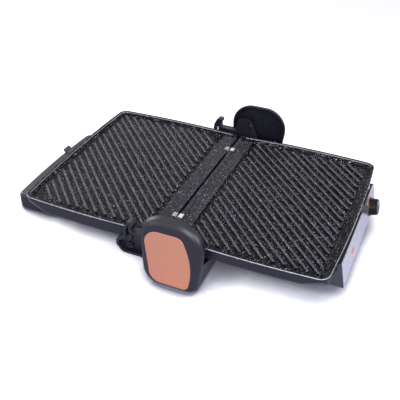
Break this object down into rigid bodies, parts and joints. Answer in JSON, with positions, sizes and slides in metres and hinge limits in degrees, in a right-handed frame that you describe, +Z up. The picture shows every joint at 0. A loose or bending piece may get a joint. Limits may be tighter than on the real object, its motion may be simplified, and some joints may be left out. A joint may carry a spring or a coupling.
{
  "type": "sandwich maker",
  "caption": "Contact grill that opens flat: ribbed non-stick plates on a floating hinge, lid with a grip handle, steel panel with knob and pilot lens, copper-inlaid hinge covers.",
  "frame": {"origin": "on the table under the middle of the open grill's outer box", "axes": "+X from the opened lid's handle to the control panel, +Y along the hinge axis away from the viewer, +Z up"},
  "size_m": [0.5281, 0.353, 0.113],
  "materials": {
    "nonstick": "cast with a speckled stone-look non-stick coat",
    "casing": "moulded satin charcoal",
    "release_tab": "moulded satin dark grey",
    "panel_steel": "brushed along its length",
    "spring_steel": "bright rolled sheet",
    "bracket_black": "black powder coat on bent sheet",
    "zinc_steel": "zinc plated",
    "bush_plastic": "natural nylon",
    "copper": "satin copper-coloured anodised sheet",
    "knob_gloss": "polished black",
    "pointer_white": "white infill",
    "lens_red": "tinted translucent",
    "lamp_glass": "clear envelope",
    "heater_sheath": "oxidised sheath",
    "bright_sheet": "bright rolled sheet",
    "fuse_case": "plated can",
    "thermostat_case": "moulded ceramic-filled",
    "terminal_plastic": "moulded natural",
    "rubber": "moulded matt"
  },
  "bodies": {
    "base": {"base_plate": "nonstick", "base_tray": "casing", "base_heater": "heater_sheath", "base_heater_clamps": "bright_sheet", "base_reflector": "bright_sheet", "base_fuse": "fuse_case", "base_plate_clips": "spring_steel", "base_shell": "casing", "base_bottom_cover": "casing", "control_panel": "panel_steel", "panel_frame": "casing", "indicator_lens": "lens_red", "indicator_lamp": "lamp_glass", "thermostat": "thermostat_case", "knob_bezel": "copper", "terminal_block": "terminal_plastic", "cord_gland": "rubber", "near_hinge_cap": "casing", "far_hinge_cap": "casing", "near_badge": "copper", "far_badge": "copper", "near_hinge_bracket": "bracket_black", "far_hinge_bracket": "bracket_black", "near_hinge_pin": "zinc_steel", "far_hinge_pin": "zinc_steel", "front_feet": "casing", "foot_pads": "rubber", "cover_screws": "zinc_steel", "leg_screws": "zinc_steel", "cap_screws": "zinc_steel"},
    "arms": {"near_arm": "casing", "far_arm": "casing", "near_hinge_bush": "bush_plastic", "far_hinge_bush": "bush_plastic"},
    "lid": {"lid_plate": "nonstick", "lid_tray": "casing", "lid_heater": "heater_sheath", "lid_heater_clamps": "bright_sheet", "lid_reflector": "bright_sheet", "lid_fuse": "fuse_case", "lid_plate_clips": "spring_steel", "lid_cover": "casing", "handle": "casing", "handle_trim": "copper", "lid_foot_pads": "rubber", "near_float_pin": "casing", "far_float_pin": "casing"},
    "knob": {"knob": "knob_gloss", "knob_pointer": "pointer_white", "thermostat_shaft": "zinc_steel"},
    "base_latch": {"base_latch": "release_tab"},
    "lid_latch": {"lid_latch": "release_tab"}
  },
  "joints": [
    {"name": "lid_hinge", "type": "hinge", "parent": "base", "child": "arms", "pos_m": [0.01437, 0, 0.072], "axis": [0, 1, 0], "range_deg": [0, 180]},
    {"name": "lid_float", "type": "slide", "parent": "arms", "child": "lid", "axis": [0, 0, 1], "range_m": [0, 0.0105]},
    {"name": "knob_turn", "type": "hinge", "parent": "base", "child": "knob", "pos_m": [0.24937, 0.067, 0.04], "axis": [0.9816, 0, 0.1909], "range_deg": [-270, 0]},
    {"name": "base_latch_slide", "type": "slide", "parent": "base", "child": "base_latch", "axis": [1, 0, 0], "range_m": [0, 0.003], "stiffness_N_per_m": 500, "springref_m": -0.001},
    {"name": "lid_latch_slide", "type": "slide", "parent": "lid", "child": "lid_latch", "axis": [-1, 0, 0], "range_m": [0, 0.003], "stiffness_N_per_m": 500, "springref_m": -0.001}
  ]
}
